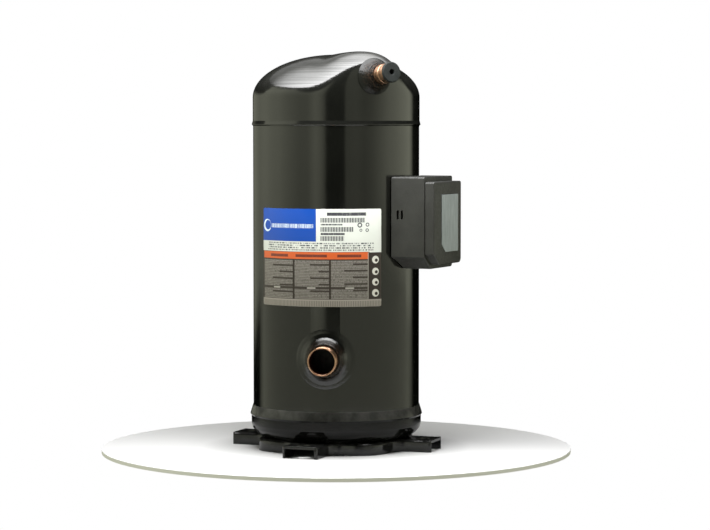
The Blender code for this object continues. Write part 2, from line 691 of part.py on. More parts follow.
def main():
    clear_scene()
    cap_wall = make_cap()
    shell_wall = make_shell()
    make_lower_cover()
    make_base_plate()
    make_suction(shell_wall)
    make_discharge(cap_wall)
    make_terminal_box()
    make_terminals()
    make_nameplate()
    make_motor()
    make_shaft()
    make_bearings()
    make_housing()
    make_guide_bolts()
    make_orbiting_scroll()
    make_oldham_ring()
    make_fixed_scroll()
    make_discharge_side()


main()
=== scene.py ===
"""The looks of a hermetic scroll compressor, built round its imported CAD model.

Lengths are in millimetres. Heights are above the CAD source's reference level, FOOT above which the
plate's rims stand; `lift` takes both to metres in the model's frame. Main sizes are read from the CAD
nodes' boxes, and from the record's mounts and joints.
"""

import json
import math

import bmesh
import bpy
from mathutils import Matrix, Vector
from mathutils.bvhtree import BVHTree


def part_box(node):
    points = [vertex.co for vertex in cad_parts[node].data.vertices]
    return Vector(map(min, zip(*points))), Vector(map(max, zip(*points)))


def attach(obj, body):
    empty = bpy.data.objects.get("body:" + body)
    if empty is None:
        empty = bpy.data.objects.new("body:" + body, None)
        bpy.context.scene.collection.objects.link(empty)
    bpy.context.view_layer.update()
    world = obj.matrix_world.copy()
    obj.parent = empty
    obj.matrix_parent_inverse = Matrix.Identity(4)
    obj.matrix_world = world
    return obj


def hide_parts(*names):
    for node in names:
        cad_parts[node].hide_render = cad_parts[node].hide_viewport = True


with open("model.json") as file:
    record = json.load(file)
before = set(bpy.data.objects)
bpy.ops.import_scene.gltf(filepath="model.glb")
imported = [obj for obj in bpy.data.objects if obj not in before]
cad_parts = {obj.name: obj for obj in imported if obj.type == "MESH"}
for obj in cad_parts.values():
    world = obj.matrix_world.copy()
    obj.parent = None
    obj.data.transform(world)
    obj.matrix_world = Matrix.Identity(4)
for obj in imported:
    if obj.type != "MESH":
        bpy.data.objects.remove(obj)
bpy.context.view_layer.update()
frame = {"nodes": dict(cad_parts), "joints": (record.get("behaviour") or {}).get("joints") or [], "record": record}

MM = 0.001


# ---------------------------------------------------------------- sizes from the frame

def extent(node):
    """Lowest and highest corner of a CAD node, in millimetres and heights."""
    low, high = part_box(node)
    return [(Vector((c.x, c.y, c.z)) / MM + Vector((0, 0, DATUM))) for c in (low, high)]


def mount(name):
    found = [m for m in frame["record"]["mounts"] if m["name"] == name][0]
    return Vector(found["pos_m"]) / MM + Vector((0, 0, DATUM)), Vector(found["axis"])


def azimuth_of(vector):
    return math.degrees(math.atan2(vector[1], vector[0]))


def pull_axis(joint):
    return Vector([j for j in frame["joints"] if j["name"] == joint][0]["axis"])


FOOT = -1.5
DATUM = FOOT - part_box("base_plate")[0].z / MM
PLATE_TOP = extent("base_plate")[1].z
SHELL_R = extent("shell_tube")[1].x
SHELL_BOTTOM = extent("shell_tube")[0].z
BEAD_R = extent("top_cap")[1].x
CAP_BOTTOM = extent("top_cap")[0].z
COVER_R = extent("lower_cover")[1].x
SUCTION_AT, SUCTION_OUT = mount("suction_stub_end")
SUCTION_AZ = azimuth_of(SUCTION_OUT)
SUCTION_Z = sum(c.z for c in extent("suction_stub")) / 2
SUCTION_END = SUCTION_AT.x * SUCTION_OUT.x + SUCTION_AT.y * SUCTION_OUT.y
DISCHARGE_OUT = pull_axis("discharge_plug_pull")
BOX_AZ = azimuth_of(pull_axis("box_cover_pull"))
BOX_LOW, BOX_HIGH = [c.z for c in extent("terminal_box_base")]
LID_LOW, LID_HIGH = [c.z for c in extent("terminal_box_cover")]
HEADER_Z = sum(c.z for c in extent("terminal_block")) / 2
LABEL_LOW, LABEL_HIGH = [c.z for c in extent("nameplate")]

CAP_R = 117.0
CAP_WALL = 4.5
CAP_SHOULDER = 490.0
CAP_RISE = 60.0
HUMP_AZ = -90.0
HUMP_SIGMA = 16.0
HUMP_SQUARENESS = 5.0
HUMP_LIFT = 3.5
DISCHARGE_FROM = (-8.2, -1.7, 504.9)
DISCHARGE_END = 155.2
PLUG_FACE = 160.0
MOUNT_HALF = 95.0
BOX_HALF = 52.5
BOX_FRONT = 154.5
LID_HALF = 51.0
LID_FRONT = 168.5
LABEL_AZ = (-173.9, -83.4)
ROUND = 160             # sides of the large turned pieces
SHARP = 38.0            # degrees between two faces from which their edge stays sharp
SHELL_WALL = 4.0


def lift(point):
    return Vector((point[0] * MM, point[1] * MM, (point[2] - DATUM) * MM))


def upright(x, y, z):
    return lift((x, y, z))


def aimed(start, out):
    """Millimetres on the line from `start` along the unit vector `out`: x sideways, y up, z along it."""
    side = Vector((0, 0, 1)).cross(out).normalized()
    up = out.cross(side)
    return lambda x, y, z: lift(Vector(start) + side * x + up * y + out * z)


def radial(azimuth, height):
    """Local millimetres on a level line from the shell's axis: x sideways, y up, z out."""
    turn = math.radians(azimuth)
    return aimed((0, 0, height), Vector((math.cos(turn), math.sin(turn), 0)))


def shifted(x0, y0):
    return lambda x, y, z: lift((x + x0, y + y0, z))


BOX_PLACE = radial(BOX_AZ, 0.0)     # x to the right of the terminal box from outside, z out of it


# ---------------------------------------------------------------- mesh tools

def keep(name, bm, finish, replaces, body="root", sharp=SHARP):
    """Turns a bmesh into a finished piece that rides on a body and stands for CAD nodes."""
    bmesh.ops.remove_doubles(bm, verts=bm.verts, dist=1e-7)
    bmesh.ops.recalc_face_normals(bm, faces=bm.faces)
    mesh = bpy.data.meshes.new(name)
    bm.to_mesh(mesh)
    bm.free()
    mesh.shade_smooth()
    mesh.set_sharp_from_angle(angle=math.radians(sharp))
    mesh.materials.append(finish)
    piece = bpy.data.objects.new(name, mesh)
    bpy.context.scene.collection.objects.link(piece)
    if replaces:
        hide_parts(*replaces)
        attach(piece, body)
    return piece


def skin(rings, place, closed=True):
    """A bmesh over rings of points with equal counts. A ring of one point is a pole."""
    bm = bmesh.new()
    made = [[bm.verts.new(place(*p)) for p in ring] for ring in rings]
    pairs = list(zip(made, made[1:]))
    if closed:
        pairs.append((made[-1], made[0]))
    for low, high in pairs:
        if len(low) == 1 and len(high) == 1:
            continue
        for i in range(max(len(low), len(high))):
            j = i + 1
            corners = [low[i % len(low)], low[j % len(low)], high[j % len(high)], high[i % len(high)]]
            bm.faces.new(list(dict.fromkeys(corners)))
    return bm


def capped(rings, place):
    """A bmesh over rings of points whose first and last ring are closed by a face each."""
    bm = skin(rings, place, closed=False)
    count = len(rings[0])
    bm.verts.ensure_lookup_table()
    bm.faces.new(bm.verts[:count][::-1])
    bm.faces.new(bm.verts[-count:])
    return bm


def ring(radius, z, sides):
    if radius == 0.0:
        return [(0.0, 0.0, z)]
    angles = [2 * math.pi * i / sides for i in range(sides)]
    return [(radius * math.cos(a), radius * math.sin(a), z) for a in angles]


def rounded(corners, steps=5, closed=True):
    """A polyline whose corners (a, b, radius) are turned into arcs."""
    out = []
    count = len(corners)
    for i, (a, b, radius) in enumerate(corners):
        here = Vector((a, b))
        if radius <= 0 or (not closed and i in (0, count - 1)):
            out.append((a, b))
            continue
        before = Vector(corners[i - 1][:2]) - here
        after = Vector(corners[(i + 1) % count][:2]) - here
        bend = before.angle(after)
        if bend > math.pi - 0.02:
            out.append((a, b))
            continue
        reach = min(radius / math.tan(bend / 2), before.length * 0.49, after.length * 0.49)
        real = reach * math.tan(bend / 2)
        centre = here + (before.normalized() + after.normalized()).normalized() * (real / math.sin(bend / 2))
        start = here + before.normalized() * reach - centre
        end = here + after.normalized() * reach - centre
        turn = start.angle_signed(end)
        for k in range(steps + 1):
            angle = -turn * k / steps
            c = math.cos(angle)
            s = math.sin(angle)
            out.append((centre.x + start.x * c - start.y * s, centre.y + start.x * s + start.y * c))
    return out


def lathe(profile, place=upright, sides=ROUND):
    """A closed profile of (radius, height, corner radius) turned about its axis."""
    return skin([ring(max(r, 0.0), z, sides) for r, z in rounded(profile)], place)


def rod(radius, low, high, place=upright, sides=ROUND):
    return lathe([(0, low, 0), (radius, low, 0), (radius, high, 0), (0, high, 0)], place, sides)


def arc(centre, radius, start, end, count):
    steps = [math.radians(start + (end - start) * i / (count - 1)) for i in range(count)]
    return [(centre[0] + radius * math.cos(a), centre[1] + radius * math.sin(a)) for a in steps]


def tool(bm, finish):
    """A shape for `cut`, in the finish of the piece that it changes."""
    return keep("tool", bm, finish, [])


def cut(piece, *cutters, joined=()):
    """Joins shapes to a piece and then cuts others out of it for good, so that no tool stays in the scene."""
    for operation, tools in (("UNION", joined), ("DIFFERENCE", cutters)):
        for shape in tools:
            change = piece.modifiers.new("cut", "BOOLEAN")
            change.operation = operation
            change.solver = "EXACT"
            change.object = shape
    bpy.context.view_layer.update()
    graph = bpy.context.evaluated_depsgraph_get()
    made = bpy.data.meshes.new_from_object(piece.evaluated_get(graph))
    piece.modifiers.clear()
    old = piece.data
    piece.data = made
    bpy.data.meshes.remove(old)
    for shape in (*joined, *cutters):
        bpy.data.objects.remove(shape, do_unlink=True)
    made.shade_smooth()
    made.set_sharp_from_angle(angle=math.radians(SHARP))


# ---------------------------------------------------------------- materials

GLOSS = "Specular IOR Level"


class Nodes:
    """Helpers that lay nodes in a shader tree. Their values are numbers, triples or other nodes' outputs."""

    def __init__(self, tree):
        self.tree = tree

    def give(self, value, socket):
        if isinstance(value, bpy.types.NodeSocket):
            self.tree.links.new(value, socket)
        else:
            socket.default_value = (*value, 1) if socket.type == "RGBA" else value

    def node(self, kind, inputs=None, **settings):
        """A new node with its settings, and with values for its inputs by name or number."""
        made = self.tree.nodes.new(kind)
        for key, value in settings.items():
            setattr(made, key, value)
        for socket, value in (inputs or {}).items():
            self.give(value, made.inputs[socket])
        return made

    def math(self, operation, *values, clamp=False):
        inputs = dict(enumerate(values))
        return self.node("ShaderNodeMath", inputs, operation=operation, use_clamp=clamp).outputs[0]

    def vector(self, operation, *values):
        """The number that a length or a dot product gives, or another operation's vector."""
        made = self.node("ShaderNodeVectorMath", dict(enumerate(values)), operation=operation)
        return made.outputs["Value" if operation in ("LENGTH", "DOT_PRODUCT") else "Vector"]

    def split(self, vector):
        return self.node("ShaderNodeSeparateXYZ", {0: vector}).outputs

    def ramp(self, value, low, high, start=0.3, end=0.7, kind="LINEAR"):
        """Maps a value's start..end to low..high, which are numbers."""
        span = {"Value": value, "From Min": start, "From Max": end, "To Min": low, "To Max": high}
        return self.node("ShaderNodeMapRange", span, interpolation_type=kind).outputs["Result"]

    def mix(self, factor, first, second):
        """Mixes two colours."""
        return self.node("ShaderNodeMix", {0: factor, 6: first, 7: second}, data_type="RGBA").outputs[2]


class Finish(Nodes):
    """A Principled material with helpers for procedural detail in object space, in metres."""

    def __init__(self, name, rough, metallic=0.0, coat=0.0, specular=0.5):
        self.material = bpy.data.materials.new(name)
        self.material.use_nodes = True
        super().__init__(self.material.node_tree)
        self.shader = self.tree.nodes["Principled BSDF"]
        self.set("Roughness", rough)
        self.set("Metallic", metallic)
        self.set("Coat Weight", coat)
        self.set("Coat Roughness", 0.05)
        self.set(GLOSS, specular)
        self.place = self.node("ShaderNodeTexCoord").outputs["Object"]
        self.normal = self.node("ShaderNodeNewGeometry").outputs["Normal"]
        self.last_bump = None

    def set(self, socket, value):
        self.give(value, self.shader.inputs[socket])

    def stretch(self, scale):
        """Object coordinates scaled on each axis, for grain and strata."""
        return self.node("ShaderNodeMapping", {"Scale": scale, "Vector": self.place}).outputs["Vector"]

    def noise(self, scale, detail=4.0, rough=0.55, vector=None):
        inputs = {"Scale": scale, "Detail": detail, "Roughness": rough, "Vector": vector or self.place}
        return self.node("ShaderNodeTexNoise", inputs).outputs["Fac"]

    def colour(self, value):
        self.set("Base Color", value)

    def roughness(self, scale, low, high, detail=4.0):
        """Lets the roughness wander between two values."""
        self.set("Roughness", self.ramp(self.noise(scale, detail), low, high))

    def bump(self, height, strength, distance):
        made = self.node("ShaderNodeBump", {"Strength": strength, "Distance": distance, "Height": height})
        if self.last_bump is not None:
            self.give(self.last_bump, made.inputs["Normal"])
        self.last_bump = made.outputs["Normal"]
        self.set("Normal", self.last_bump)

    def toned(self, pattern, dark, pale, strength, distance):
        """Gives the surface two tones and a relief that follow one pattern."""
        self.colour(self.mix(self.ramp(pattern, 0, 1), dark, pale))
        self.bump(pattern, strength, distance)
        return self.material

    def upward(self):
        """How far the surface faces up, 0 to 1."""
        return self.math("MAXIMUM", self.split(self.normal)["Z"], 0.0)

    def edges(self, radius):
        """1 where the shape turns sharply outwards, from the bevelled normal: worn edges on the plate, painted
        highlights on the box.
        """
        soft = self.node("ShaderNodeBevel", {"Radius": radius}, samples=4).outputs[0]
        return self.ramp(self.vector("DOT_PRODUCT", soft, self.normal), 1.0, 0.0, 0.8, 0.98)


def gloss_paint(name, ripple=0.0, gloss=0.55, dust=0.035):
    """Baked black enamel with a faint orange peel and thin dust on top.

    `ripple` is the strength of the level rings that deep drawing leaves, and `dust` the share of a level
    surface that dust hides where it lies thickest."""
    f = Finish(name, 0.1, specular=gloss)
    base = f.mix(f.ramp(f.noise(9.0, 5.0), 0, 1), (0.0020, 0.0022, 0.0020), (0.0050, 0.0052, 0.0042))
    settled = f.math("MULTIPLY", f.upward(), f.ramp(f.noise(60.0, 6.0, 0.7), 0.0, dust, 0.1, 0.8))
    f.colour(f.mix(settled, base, (0.5, 0.5, 0.46)))
    f.roughness(22.0, 0.085, 0.145)
    f.bump(f.noise(330.0, 2.0), 0.05, 0.0004)
    f.bump(f.noise(38.0, 2.0), 0.04, 0.0016)
    if ripple:
        rings = f.math("MULTIPLY", f.noise(1.0, 2.0, 0.5, f.stretch((7.0, 7.0, 330.0))), f.upward())
        f.bump(rings, ripple, 0.0012)
        lines = f.ramp(f.noise(1.0, 1.0, 0.5, f.stretch((9.0, 9.0, 800.0))), -0.2, 0.2, 0.4, 0.6)
        f.set(GLOSS, f.math("ADD", f.math("MULTIPLY", lines, f.upward()), gloss))
    return f.material


def brazed_paint(name, place, start, end, gloss, outer, lumps=1.0):
    """Enamel on a fitting: burnt brown, dull and lumpy near its tube, glossy further out.

    The change runs between two distances from the tube's axis, in millimetres. `gloss` is the burnt
    part's, `outer` the rest's, and `lumps` scales the relief."""
    f = Finish(name, 0.2)
    foot = place(0, 0, 0)
    axis = (place(0, 0, 1) - foot).normalized()
    reach = f.vector("LENGTH", f.vector("CROSS_PRODUCT", f.vector("SUBTRACT", f.place, foot), axis))
    wander = f.ramp(f.noise(130.0, 4.0), -0.003, 0.003, 0.2, 0.8)
    near = f.ramp(f.math("ADD", reach, wander), 1.0, 0.0, start * MM, end * MM)
    flecks = f.ramp(f.noise(420.0, 6.0, 0.75), 0.0, 1.0, 0.47, 0.62)
    burnt = f.mix(flecks, (0.0025, 0.0022, 0.002), (0.032, 0.020, 0.013))
    f.colour(f.mix(near, (0.0035, 0.0037, 0.0031), burnt))
    f.set(GLOSS, f.ramp(near, outer, gloss, 0.0, 1.0))
    matt = f.math("ADD", f.ramp(f.noise(60.0, 4.0), 0.09, 0.16), f.math("MULTIPLY", near, 0.12))
    f.set("Roughness", matt)
    f.bump(f.noise(360.0, 5.0, 0.65), 0.3 * lumps, 0.0012)
    return f.material


def plate_paint():
    """The same enamel on pressed plate: duller, with dust on top and worn edges."""
    f = Finish("plate_black_enamel", 0.16, specular=0.36)
    base = f.mix(f.ramp(f.noise(26.0, 6.0), 0, 1), (0.0045, 0.0048, 0.0047), (0.011, 0.0112, 0.0107))
    dust = f.math("MULTIPLY", f.upward(), f.ramp(f.noise(85.0, 8.0, 0.7), 0.0, 0.06, 0.42, 0.78))
    dusty = f.mix(dust, base, (0.42, 0.41, 0.38))
    worn = f.math("MULTIPLY", f.edges(0.0012), f.ramp(f.noise(210.0, 6.0, 0.7), 0.0, 0.6, 0.55, 0.72))
    f.colour(f.mix(worn, dusty, (0.20, 0.20, 0.19)))
    f.roughness(70.0, 0.12, 0.2, 5.0)
    f.bump(f.noise(210.0, 3.0), 0.08, 0.0005)
    return f.material


def copper():
    """Drawn tube with darker patches, tarnish spots and a fine grain."""
    f = Finish("copper_tube", 0.3, 1.0)
    patch = f.noise(75.0, 6.0, 0.65)
    warm = f.mix(f.ramp(patch, 0, 1, 0.35, 0.65), (0.52, 0.33, 0.22), (0.36, 0.19, 0.115))
    spots = f.ramp(f.noise(260.0, 5.0, 0.7), 0.0, 0.5, 0.56, 0.75)
    f.colour(f.mix(spots, warm, (0.15, 0.06, 0.035)))
    f.roughness(120.0, 0.2, 0.42, 5.0)
    f.bump(f.noise(700.0, 3.0), 0.12, 0.0002)
    return f.material


def shaded_copper_inside():
    """Oxidised wall inside a stub, dull: its red-brown is darkened past the oxide's own as painted shade down the
    bore.
    """
    f = Finish("shaded_copper_inside", 0.45, 0.85)
    patch = f.noise(90.0, 6.0, 0.7)
    f.colour(f.mix(f.ramp(patch, 0, 1), (0.035, 0.007, 0.006), (0.16, 0.04, 0.028)))
    f.roughness(150.0, 0.32, 0.6)
    f.bump(f.noise(420.0, 4.0), 0.25, 0.0003)
    return f.material

def rubber():
    """Moulded plug: matt, with fine grain and a bloom that greys the surface."""
    f = Finish("plug_rubber", 0.62, specular=0.12)
    bloom = f.noise(120.0, 6.0, 0.7)
    f.colour(f.mix(f.ramp(bloom, 0, 1), (0.006, 0.0075, 0.007), (0.013, 0.015, 0.0145)))
    f.roughness(240.0, 0.52, 0.75)
    f.bump(f.noise(900.0, 4.0), 0.3, 0.0003)
    return f.material


def box_plastic(name, light):
    """Spark-eroded moulding: fine grain, and paler edges that are a painted highlight. `light` scales its grey."""
    f = Finish(name, 0.46, specular=0.45)
    dark = tuple(light * c for c in (0.030, 0.0305, 0.0285))
    pale = tuple(light * c for c in (0.047, 0.0475, 0.044))
    base = f.mix(f.ramp(f.noise(40.0, 5.0), 0, 1), dark, pale)
    # Paler sharp edges: a painted highlight.
    f.colour(f.mix(f.math("MULTIPLY", f.edges(0.0009), 0.35), base, (0.15, 0.15, 0.14)))
    f.roughness(300.0, 0.38, 0.58)
    grain = f.node("ShaderNodeTexVoronoi", {"Scale": 850.0, "Vector": f.place})
    f.bump(grain.outputs["Distance"], 0.22, 0.0004)
    f.bump(f.noise(420.0, 4.0), 0.2, 0.0004)
    return f.material


def badge_foil():
    """A plain silver-grey foil plate, brushed along its height, with two tones and no mark."""
    f = Finish("badge_foil", 0.38, 0.35)
    f.roughness(90.0, 0.3, 0.5)
    brushed = f.noise(60.0, 3.0, 0.6, f.stretch((14.0, 14.0, 0.6)))
    return f.toned(brushed, (0.25, 0.28, 0.30), (0.42, 0.46, 0.48), 0.06, 0.0002)


def metal(name, dark, pale, rough, grain=(1, 1, 1), scale=120.0, metallic=1.0, bump=0.1):
    """Bare metal with grain stretched along one axis."""
    f = Finish(name, rough, metallic)
    f.roughness(scale * 1.7, rough * 0.8, min(rough * 1.3, 1.0))
    return f.toned(f.noise(scale, 5.0, 0.6, f.stretch(grain)), dark, pale, bump, 0.0004)


def stack():
    """Laminations: thin sheets whose edges show as fine strata."""
    f = Finish("laminations", 0.45, 0.9)
    wave = f.node("ShaderNodeTexWave", {"Scale": 320.0, "Distortion": 0.4, "Vector": f.place},
                  bands_direction="Z").outputs["Fac"]
    tone = f.mix(f.ramp(f.noise(70.0, 5.0), 0, 1), (0.20, 0.21, 0.23), (0.34, 0.35, 0.37))
    f.colour(f.mix(f.ramp(wave, 0.0, 0.6, 0.2, 0.8), tone, (0.07, 0.07, 0.08)))
    f.bump(wave, 0.4, 0.0003)
    return f.material


def winding():
    """Enamelled wire laid round the end of the stator and laced with cord."""
    f = Finish("enamelled_wire", 0.32, 0.15, coat=0.4)
    x, y, _ = f.split(f.place)
    strand = f.math("SINE", f.math("MULTIPLY", f.vector("LENGTH", f.place), 3900.0))
    lacing = f.math("SINE", f.math("MULTIPLY", f.math("ARCTAN2", y, x), 24.0))
    wire = f.mix(f.ramp(strand, 0, 1, -1, 1), (0.13, 0.035, 0.012), (0.50, 0.17, 0.06))
    f.colour(f.mix(f.ramp(lacing, 0.0, 1.0, 0.93, 0.97), wire, (0.72, 0.68, 0.58)))
    f.roughness(120.0, 0.22, 0.45)
    f.bump(strand, 0.5, 0.0004)
    return f.material


def phenolic():
    f = Finish("phenolic", 0.4)
    return f.toned(f.noise(380.0, 6.0, 0.7), (0.055, 0.022, 0.014), (0.13, 0.06, 0.036), 0.15, 0.0003)


def fibre():
    f = Finish("fibre_gasket", 0.85, specular=0.3)
    strand = f.noise(240.0, 8.0, 0.75, f.stretch((1, 1, 4)))
    return f.toned(strand, (0.10, 0.085, 0.065), (0.22, 0.19, 0.15), 0.4, 0.0004)


ROW_APART = 7.31        # keeps the dashes of one row unlike the next row's


class Print(Finish):
    """A printed foil. It paints fields on a plane of u round the shell and v up it, in millimetres."""

    def __init__(self, name, start, low):
        super().__init__(name, 0.34, coat=0.25)
        x, y, z = self.split(self.place)
        turned = self.math("SUBTRACT", self.math("ARCTAN2", y, x), math.radians(start))
        self.u = self.math("MULTIPLY", turned, SHELL_R)
        self.v = self.math("SUBTRACT", self.math("MULTIPLY", z, 1 / MM), low - DATUM)
        self.paint = None

    def inside(self, u0, v0, u1, v1):
        across = self.math("COMPARE", self.u, (u0 + u1) / 2, (u1 - u0) / 2)
        up = self.math("COMPARE", self.v, (v0 + v1) / 2, (v1 - v0) / 2)
        return self.math("MULTIPLY", across, up)

    def lay(self, where, colour):
        self.paint = self.mix(where, self.paint, colour)

    def field(self, area, colour, mask=1.0, share=1.0):
        """Paints a rectangle (u0, v0, u1, v1), through a mask where there is one."""
        self.lay(self.math("MULTIPLY", self.math("MULTIPLY", self.inside(*area), mask), share), colour)

    def words(self, pitch, size, seed, fill, word, base):
        """Meaningless dashes in rows, where print would be. `size` is the part of a row that is inked."""
        rows = self.math("DIVIDE", self.math("SUBTRACT", self.v, base), pitch)
        inked = self.math("COMPARE", self.math("FRACT", rows), 0.5, size / 2)
        place = {"X": self.math("MULTIPLY", self.u, word), "Z": seed,
                 "Y": self.math("MULTIPLY", self.math("FLOOR", rows), ROW_APART)}
        blot = self.noise(1.0, 3.0, 0.9, self.node("ShaderNodeCombineXYZ", place).outputs["Vector"])
        return self.math("MULTIPLY", inked, self.math("GREATER_THAN", blot, 1.0 - fill))

    def bars(self, pitch, other, least):
        """Upright bars, wherever two waves round the shell add up to enough."""
        waves = [self.math("SINE", self.math("MULTIPLY", self.u, wave)) for wave in (pitch, other)]
        return self.math("GREATER_THAN", self.math("ADD", *waves), least)

    def disc(self, u, v, radius):
        du = self.math("SUBTRACT", self.u, u)
        dv = self.math("SUBTRACT", self.v, v)
        total = self.math("ADD", self.math("MULTIPLY", du, du), self.math("MULTIPLY", dv, dv))
        return self.math("LESS_THAN", total, radius * radius)


def label_print():
    """The nameplate: a blue panel, rows of dashes, a table, an orange strip and three dark text columns."""
    ink = (0.05, 0.05, 0.06)
    dark = (0.030, 0.022, 0.019)
    f = Print("nameplate_print", LABEL_AZ[0], LABEL_HIGH - 136.5)
    f.set(GLOSS, 0.25)
    f.paint = f.mix(f.ramp(f.noise(18.0, 4.0), 0, 1), (0.68, 0.70, 0.66), (0.60, 0.63, 0.59))
    panel = (0, 92, 92, 136.5)
    f.field(panel, (0.002, 0.055, 0.34))
    f.field(panel, (0.62, 0.72, 0.80), f.math("SUBTRACT", f.disc(10, 113, 8.5), f.disc(11.5, 113.5, 6.6)))
    f.field((20, 109.5, 88, 116.5), (0.66, 0.74, 0.80), f.words(7.0, 0.8, 9.0, 0.5, 0.7, 109.5))
    for area in ((98, 118, 159, 124.5), (98, 105.5, 143, 112), (98, 93, 130, 99.5)):
        f.field(area, ink, f.bars(4.6, 2.9, -0.75), 0.85)
    f.field((107, 126.5, 161, 132.5), ink, f.words(6.0, 0.75, 2.0, 0.6, 0.9, 126.5))
    f.field((98.5, 113.5, 128, 117), ink, f.words(3.5, 0.6, 3.0, 0.55, 0.7, 113.5))
    f.field((98.5, 100.5, 131, 104.5), ink, f.words(4.0, 0.7, 5.0, 0.6, 0.7, 100.5))
    for u, v, radius in ((152, 114.5, 3.4), (163, 115, 2.7), (153.5, 107.5, 2.0), (162.5, 107.5, 2.4)):
        f.lay(f.math("SUBTRACT", f.disc(u, v, radius), f.disc(u, v, radius * 0.55)), ink)
    f.field((12, 79, 172, 91), ink, f.words(3.0, 0.6, 7.0, 0.5, 0.45, 79))
    f.field((0, 0, 166, 78), dark)
    f.field((2, 68, 164.5, 77.5), (0.62, 0.115, 0.03))
    for u0, u1 in ((18, 50), (62, 107), (121, 154)):
        f.field((u0, 70, u1, 75), (0.16, 0.035, 0.02), f.words(5.0, 0.75, u0, 0.62, 0.8, 70))
    for number, (u0, u1) in enumerate(((3, 57.5), (60.5, 109.8), (112.5, 163.5))):
        column = (u0, 13.5, u1, 66.5)
        middle = (u0 + u1) / 2
        f.field(column, (0.075, 0.067, 0.06))
        f.field(column, (0.27, 0.25, 0.23), f.words(2.1, 0.7, number + 11.0, 0.54, 1.7, 13.5))
        for row in range(5):
            v = 58 - 9 * row + number
            start = u0 + (u1 - u0) * (0.35 + 0.12 * ((row * 2 + number) % 4))
            f.field((start, v, u1, v + 2.4), dark, share=0.9)
        f.field((u0, 27, u1, 30), dark, share=0.9)
        f.field((middle - 6, 27.6, middle + 6, 29.6), (0.5, 0.48, 0.44), share=0.8)
    f.field((164.8, 0, 186, 77), dark)
    for v, radius in ((67, 5.2), (51, 5.0), (36.5, 5.0), (21.5, 5.2)):
        f.lay(f.disc(175, v, radius), (0.66, 0.65, 0.60))
        f.lay(f.disc(176.2, v - 0.8, radius * 0.45), dark)
    f.field((163.4, 13.5, 164.6, 77), (0.40, 0.38, 0.34), share=0.7)
    f.field((0, 0, 186, 13), (0.34, 0.31, 0.28))
    slats = f.math("GREATER_THAN", f.math("SINE", f.math("MULTIPLY", f.u, 2.6)), -0.1)
    f.field((2, 3, 184, 11), (0.13, 0.12, 0.105), slats, 0.8)
    f.colour(f.paint)
    f.roughness(45.0, 0.3, 0.46)
    f.bump(f.noise(60.0, 3.0), 0.05, 0.0008)
    return f.material


# ---------------------------------------------------------------- shell

def dome_point(radius, rise, azimuth, climb):
    """A point on the dome: `climb` is its angle above the shoulder's plane, 90 degrees at the pole."""
    away = (azimuth - HUMP_AZ + 180.0) % 360.0 - 180.0
    weight = math.exp(-away * away / (2 * HUMP_SIGMA * HUMP_SIGMA))
    power = 2.0 / (2.0 + HUMP_SQUARENESS * weight)
    turn = math.atan(math.tan(math.radians(climb)) ** (1.0 / power))
    across = max(math.cos(turn), 0.0) ** power
    up = math.sin(turn) ** power
    spread = (across / 0.85) ** 2
    swell = HUMP_LIFT * weight * spread * math.exp(1.0 - spread)
    angle = math.radians(azimuth)
    reach = radius * across
    return reach * math.cos(angle), reach * math.sin(angle), CAP_SHOULDER + rise * up + swell


def dome_rings(radius, rise, climbs):
    return [[dome_point(radius, rise, 360.0 * i / ROUND, climb) for i in range(ROUND)] for climb in climbs]


def surface_of(piece):
    bm = bmesh.new()
    bm.from_mesh(piece.data)
    tree = BVHTree.FromBMesh(bm)
    bm.free()
    return tree


def make_cap(paint):
    inner = CAP_R - CAP_WALL
    bead = BEAD_R
    recess = SHELL_R + 0.2
    seat = CAP_BOTTOM + 3.1
    rim = rounded([(inner, seat, 0.4), (recess, seat, 0), (recess, CAP_BOTTOM, 0),
                   (bead - 2.2, CAP_BOTTOM, 0), (bead, CAP_BOTTOM + 1.8, 0.6), (bead, CAP_BOTTOM + 2.6, 0.8),
                   (CAP_R, CAP_BOTTOM + 7.3, 2.0), (CAP_R, CAP_SHOULDER - 4, 0),
                   (CAP_R, CAP_SHOULDER - 1, 0)], 4, closed=False)
    rings = [ring(r, z, ROUND) for r, z in rim]
    rings += dome_rings(CAP_R, CAP_RISE, [0, 0.6] + [1.5 * k for k in range(1, 60)])
    rings.append([(0.0, 0.0, CAP_SHOULDER + CAP_RISE)])
    rings.append([(0.0, 0.0, CAP_SHOULDER + CAP_RISE - CAP_WALL)])
    rings += dome_rings(inner, CAP_RISE - CAP_WALL, [88 - 4 * k for k in range(22)])
    cap = keep("cap", skin(rings, upright), paint, ["top_cap"], sharp=50)
    wall = surface_of(cap)
    cut(cap, tool(rod(13.6, 95, 132, aimed(DISCHARGE_FROM, DISCHARGE_OUT), 48), paint))
    return wall


def make_tube(paint):
    inner = SHELL_R - SHELL_WALL
    top = CAP_BOTTOM + 0.3          # just inside the cap's recess, so no light shows through the joint
    profile = [(inner, SHELL_BOTTOM, 0.6), (SHELL_R, SHELL_BOTTOM, 0.6), (SHELL_R, top, 0), (inner, top, 0)]
    tube = keep("shell", lathe(profile), paint, ["shell_tube"], sharp=50)
    wall = surface_of(tube)
    holes = ((SUCTION_AZ, SUCTION_Z, 20.0), (BOX_AZ, HEADER_Z, 22.4))
    cut(tube, *[tool(rod(radius, 100, 130, radial(azimuth, height), 48), paint)
                for azimuth, height, radius in holes])
    return wall


def make_lower_cover(paint):
    seat = PLATE_TOP + 0.3
    inner = SHELL_R + 0.3
    profile = [(0, seat, 0), (101, seat, 3), (107, 17.4, 8), (113.2, 22.0, 8), (117.6, 27, 8),
               (119.2, 32.5, 8), (119.4, 44.9, 1.0), (COVER_R, 46.8, 0.9), (117.2, 59.3, 0.3),
               (inner, 59.4, 0), (inner, 37, 2), (113.5, 28.5, 3), (100, 20, 3), (0, 20, 0)]
    keep("bottom_cover", lathe(profile), paint, ["lower_cover"], sharp=50)


# ---------------------------------------------------------------- base plate

